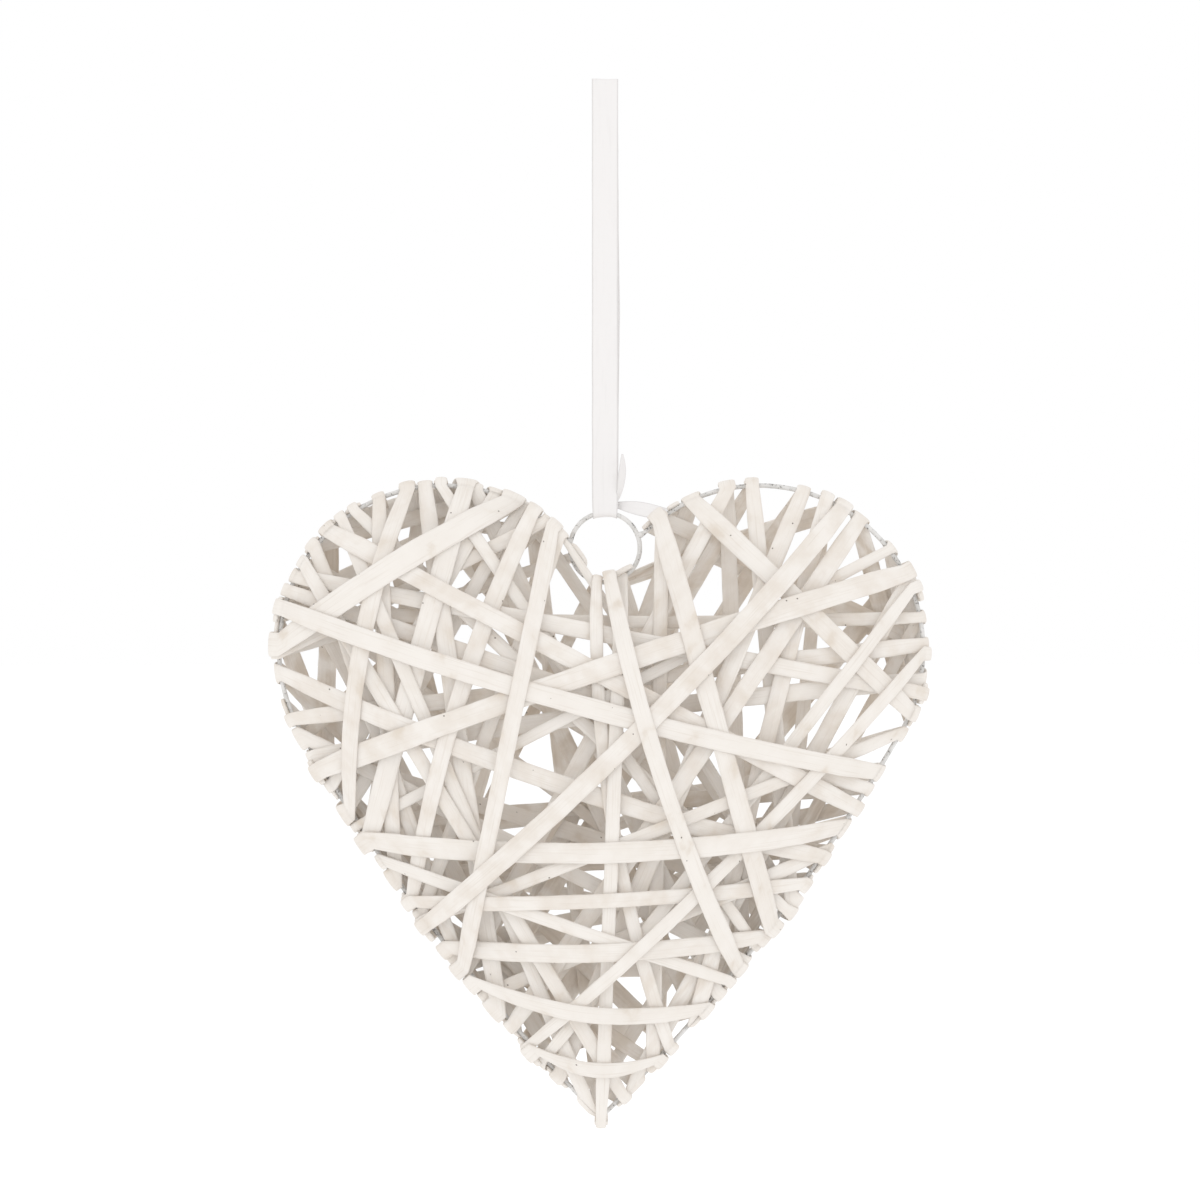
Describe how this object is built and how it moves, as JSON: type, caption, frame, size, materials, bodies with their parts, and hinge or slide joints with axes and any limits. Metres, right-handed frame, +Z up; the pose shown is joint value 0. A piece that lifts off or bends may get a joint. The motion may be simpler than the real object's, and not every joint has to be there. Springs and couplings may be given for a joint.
{
  "type": "hanging wicker heart",
  "caption": "White painted wicker heart on a round wire frame, wound over both faces with flat willow strips, with a wire ring and a satin ribbon to hang it by.",
  "frame": {"origin": "the fold at the top of the ribbon, where it hangs on a nail or hook", "axes": "+Z up, +X to the viewer's right, and the front of the heart faces -Y"},
  "size_m": [0.3071, 0.0644, 0.4841],
  "materials": {
    "painted_willow": "matt off-white paint over split willow, with fine long fibres",
    "painted_wire": "thin white paint over steel wire, worn grey in places",
    "satin_ribbon": "white single-faced satin"
  },
  "bodies": {
    "root": {"heart_wire": "painted_wire", "hanging_ring": "painted_wire", "willow_strip_01": "painted_willow", "willow_strip_02": "painted_willow", "willow_strip_03": "painted_willow", "willow_strip_04": "painted_willow", "willow_strip_05": "painted_willow", "willow_strip_06": "painted_willow", "willow_strip_07": "painted_willow", "willow_strip_08": "painted_willow", "willow_strip_09": "painted_willow", "willow_strip_10": "painted_willow", "willow_strip_11": "painted_willow", "willow_strip_12": "painted_willow", "willow_strip_13": "painted_willow", "willow_strip_14": "painted_willow", "willow_strip_15": "painted_willow", "willow_strip_16": "painted_willow", "willow_strip_17": "painted_willow", "willow_strip_18": "painted_willow", "willow_strip_19": "painted_willow", "willow_strip_20": "painted_willow", "willow_strip_21": "painted_willow", "willow_strip_22": "painted_willow", "willow_strip_23": "painted_willow", "willow_strip_24": "painted_willow", "willow_strip_25": "painted_willow", "willow_strip_26": "painted_willow", "willow_strip_27": "painted_willow", "willow_strip_28": "painted_willow", "willow_strip_29": "painted_willow", "willow_strip_30": "painted_willow", "willow_strip_31": "painted_willow", "willow_strip_32": "painted_willow", "willow_strip_33": "painted_willow", "willow_strip_34": "painted_willow", "willow_strip_35": "painted_willow", "willow_strip_36": "painted_willow", "willow_strip_37": "painted_willow", "willow_strip_38": "painted_willow", "willow_strip_39": "painted_willow", "willow_strip_40": "painted_willow", "willow_strip_41": "painted_willow", "willow_strip_42": "painted_willow", "willow_strip_43": "painted_willow", "willow_strip_44": "painted_willow", "willow_strip_45": "painted_willow", "willow_strip_46": "painted_willow", "willow_strip_47": "painted_willow", "willow_strip_48": "painted_willow", "willow_strip_49": "painted_willow", "willow_strip_50": "painted_willow", "willow_strip_51": "painted_willow", "willow_strip_52": "painted_willow", "ribbon": "satin_ribbon"}
  },
  "joints": []
}
